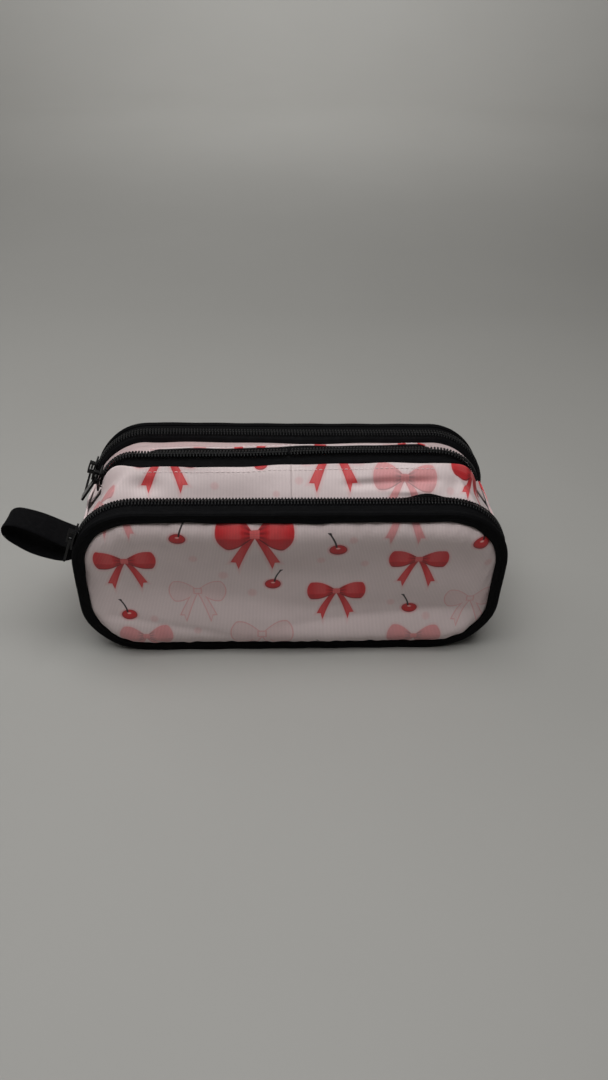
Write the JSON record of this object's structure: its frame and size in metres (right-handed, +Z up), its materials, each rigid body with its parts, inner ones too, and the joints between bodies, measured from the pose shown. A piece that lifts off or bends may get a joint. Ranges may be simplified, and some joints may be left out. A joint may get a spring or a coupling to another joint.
{
  "type": "pencil case",
  "caption": "Soft zipped pencil case with a middle compartment between two slim outer pockets, each with its own coil zip, and a webbing loop on one end.",
  "frame": {"origin": "middle of the flat bottom, where the case stands", "axes": "+X to the right along the case's length, front pocket towards -Y, +Z up"},
  "size_m": [0.27, 0.096, 0.1042],
  "materials": {
    "printed_cloth": "satin woven polyester, printed with bows and cherries",
    "binding": "soft black woven binding",
    "zip_tape": "black knitted zip tape",
    "zip_coil": "black nylon coil",
    "slider": "black enamelled zinc",
    "lining": "plain thin polyester",
    "webbing": "black woven strap"
  },
  "bodies": {
    "case": {"front_panel": "printed_cloth", "front_binding": "binding", "front_gusset": "printed_cloth", "front_tape_end": "zip_tape", "front_coil_end": "zip_coil", "front_inner_coil": "zip_coil", "front_inner_tape": "zip_tape", "front_divider": "lining", "front_pocket_lining": "lining", "main_front_lining": "lining", "back_panel": "printed_cloth", "back_binding": "binding", "back_gusset": "printed_cloth", "back_tape_end": "zip_tape", "back_coil_end": "zip_coil", "back_inner_coil": "zip_coil", "back_inner_tape": "zip_tape", "back_divider": "lining", "back_pocket_lining": "lining", "main_back_lining": "lining", "main_left_end": "printed_cloth", "main_left_tape_end": "zip_tape", "main_left_coil_end": "zip_coil", "main_right_end": "printed_cloth", "main_right_tape_end": "zip_tape", "main_right_coil_end": "zip_coil", "main_gusset": "printed_cloth", "strap_tab": "webbing"},
    "front_cover": {"front_cover_panel": "printed_cloth", "front_cover_binding": "binding", "front_cover_tape": "zip_tape", "front_cover_coil": "zip_coil"},
    "main_front_flap": {"main_front_slope": "printed_cloth", "main_front_tape": "zip_tape", "main_front_coil": "zip_coil"},
    "back_cover": {"back_cover_panel": "printed_cloth", "back_cover_binding": "binding", "back_cover_tape": "zip_tape", "back_cover_coil": "zip_coil"},
    "main_back_flap": {"main_back_slope": "printed_cloth", "main_back_tape": "zip_tape", "main_back_coil": "zip_coil"},
    "front_slider": {"front_slider": "slider"},
    "front_pull": {"front_pull": "slider"},
    "main_slider": {"main_slider": "slider"},
    "main_pull": {"main_pull": "slider"},
    "back_slider": {"back_slider": "slider"},
    "back_pull": {"back_pull": "slider"},
    "strap": {"strap": "webbing"}
  },
  "joints": [
    {"name": "front_cover_fold", "type": "hinge", "parent": "case", "child": "front_cover", "pos_m": [0, -0.048, 0.061], "axis": [-1, 0, 0], "range_deg": [-75, 0]},
    {"name": "back_cover_fold", "type": "hinge", "parent": "case", "child": "back_cover", "pos_m": [0, 0.048, 0.061], "axis": [1, 0, 0], "range_deg": [-75, 0]},
    {"name": "main_front_mouth", "type": "hinge", "parent": "case", "child": "main_front_flap", "pos_m": [0, -0.022, 0.0845], "axis": [-1, 0, 0], "range_deg": [-30, 0]},
    {"name": "main_back_mouth", "type": "hinge", "parent": "case", "child": "main_back_flap", "pos_m": [0, 0.022, 0.0845], "axis": [1, 0, 0], "range_deg": [-30, 0]},
    {"name": "front_slider_run", "type": "hinge", "parent": "case", "child": "front_slider", "pos_m": [-0.079, -0.032, 0.061], "axis": [0, 1, 0], "range_deg": [0, 58]},
    {"name": "back_slider_run", "type": "hinge", "parent": "case", "child": "back_slider", "pos_m": [-0.079, 0.032, 0.061], "axis": [0, 1, 0], "range_deg": [0, 58]},
    {"name": "main_slider_run", "type": "hinge", "parent": "case", "child": "main_slider", "pos_m": [-0.08, 0, 0.0814], "axis": [0, 1, 0], "range_deg": [0, 56]},
    {"name": "front_pull_swing", "type": "hinge", "parent": "front_slider", "child": "front_pull", "pos_m": [-0.11396, -0.032, 0.07372], "axis": [0, 1, 0], "range_deg": [0, 150]},
    {"name": "back_pull_swing", "type": "hinge", "parent": "back_slider", "child": "back_pull", "pos_m": [-0.11396, 0.032, 0.07372], "axis": [0, 1, 0], "range_deg": [0, 150]},
    {"name": "main_pull_swing", "type": "hinge", "parent": "main_slider", "child": "main_pull", "pos_m": [-0.10413, 0, 0.08832], "axis": [0, 1, 0], "range_deg": [0, 120]},
    {"name": "strap_bend", "type": "hinge", "parent": "case", "child": "strap", "pos_m": [-0.1133, -0.0174, 0.0585], "axis": [0, 1, 0], "range_deg": [-45, 30]}
  ]
}
